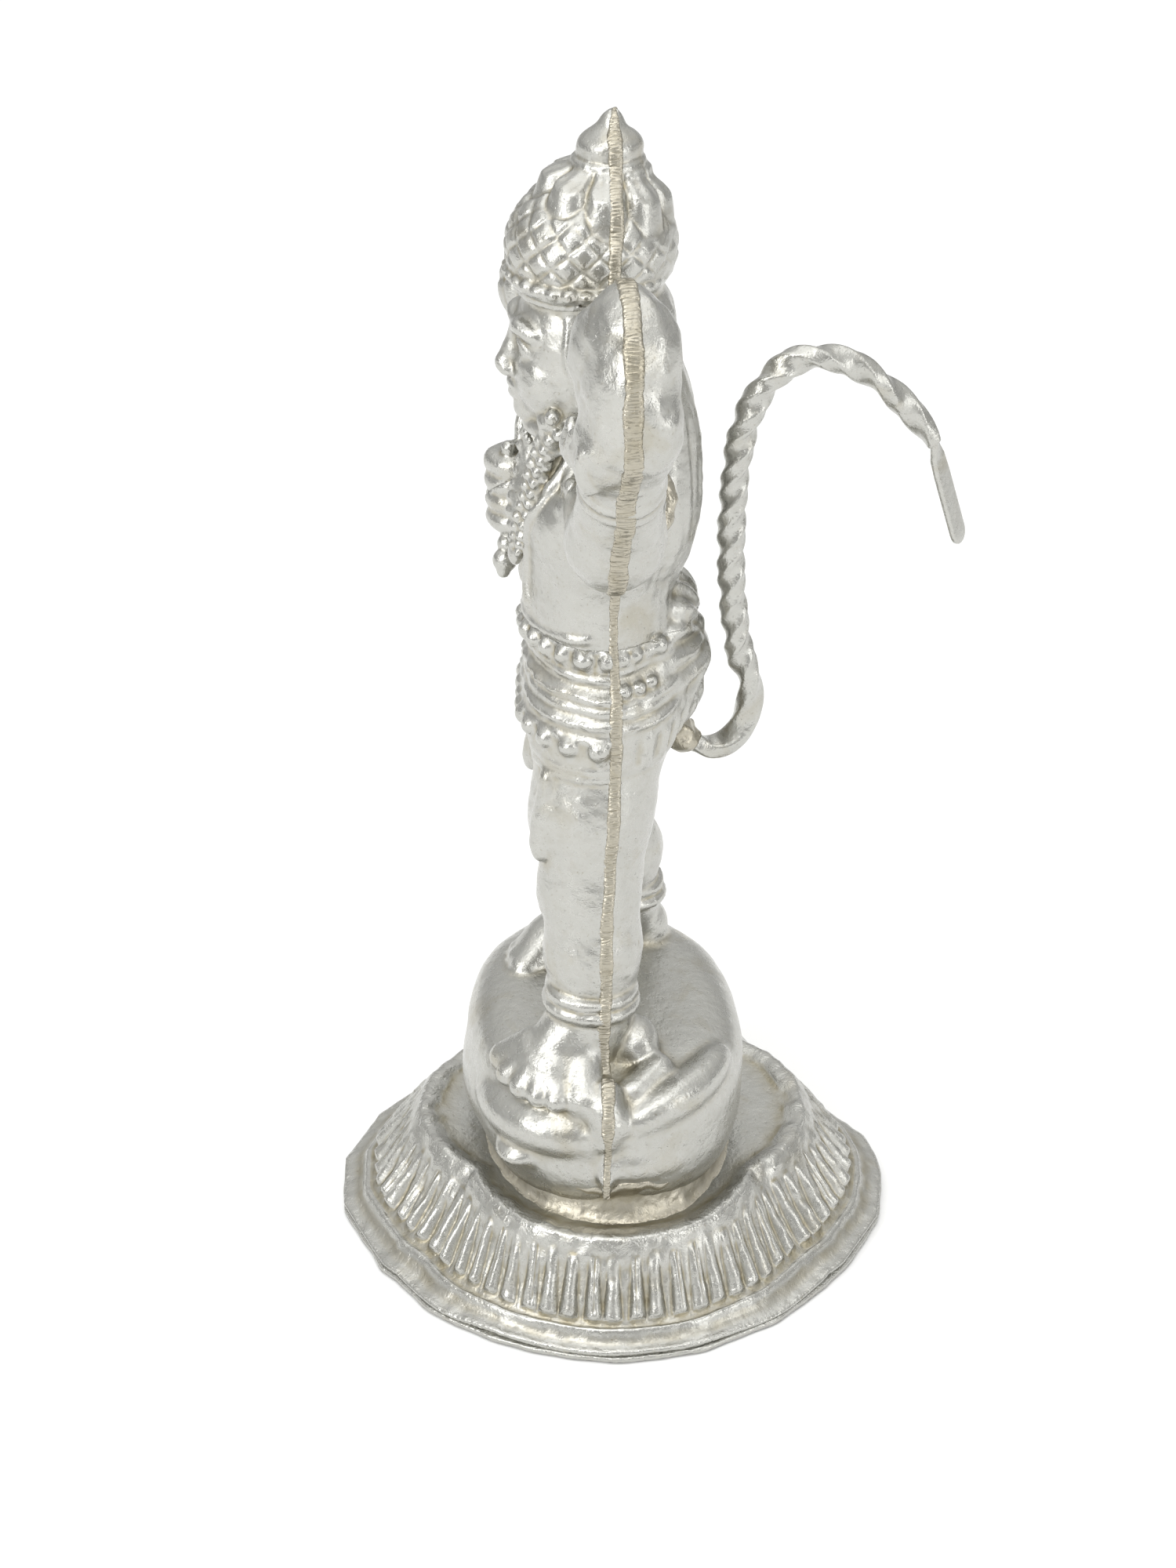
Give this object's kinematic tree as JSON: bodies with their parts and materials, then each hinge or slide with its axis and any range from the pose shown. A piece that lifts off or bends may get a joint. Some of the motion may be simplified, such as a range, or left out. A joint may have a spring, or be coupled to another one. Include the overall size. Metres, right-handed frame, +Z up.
{
  "type": "devotional figurine",
  "caption": "Hollow pressed-silver standing figurine with crown, raised arm, mace and twisted tail on a four-lobed fluted base.",
  "frame": {"origin": "centre of the flat underside of the base, on the surface it stands on", "axes": "+Z up along the standing figure, -Y the way the figure faces, +X to the figure's left, the side of the raised arm"},
  "size_m": [0.0669, 0.069, 0.1299],
  "materials": {
    "silver": "frosted white silver with burnished high spots and a faint warm tint in the recesses",
    "solder": "filed silver solder, warm grey, with fine cross file marks"
  },
  "bodies": {
    "root": {"base_pressing": "silver", "base_bottom_sheet": "silver", "figure_front_shell": "silver", "figure_back_shell": "silver", "left_arm_front_shell": "silver", "left_arm_back_shell": "silver", "right_arm_outer_shell": "silver", "right_arm_inner_shell": "silver", "mace_handle": "silver", "mace_head": "silver", "mace_pommel": "silver", "tail_strip": "silver", "collar_band": "solder", "figure_seam_left": "solder", "figure_seam_right": "solder", "figure_seam_between_legs": "solder", "left_arm_seam": "solder", "left_arm_solder": "solder", "right_arm_seam": "solder", "right_arm_solder": "solder", "tail_solder": "solder"}
  },
  "joints": []
}
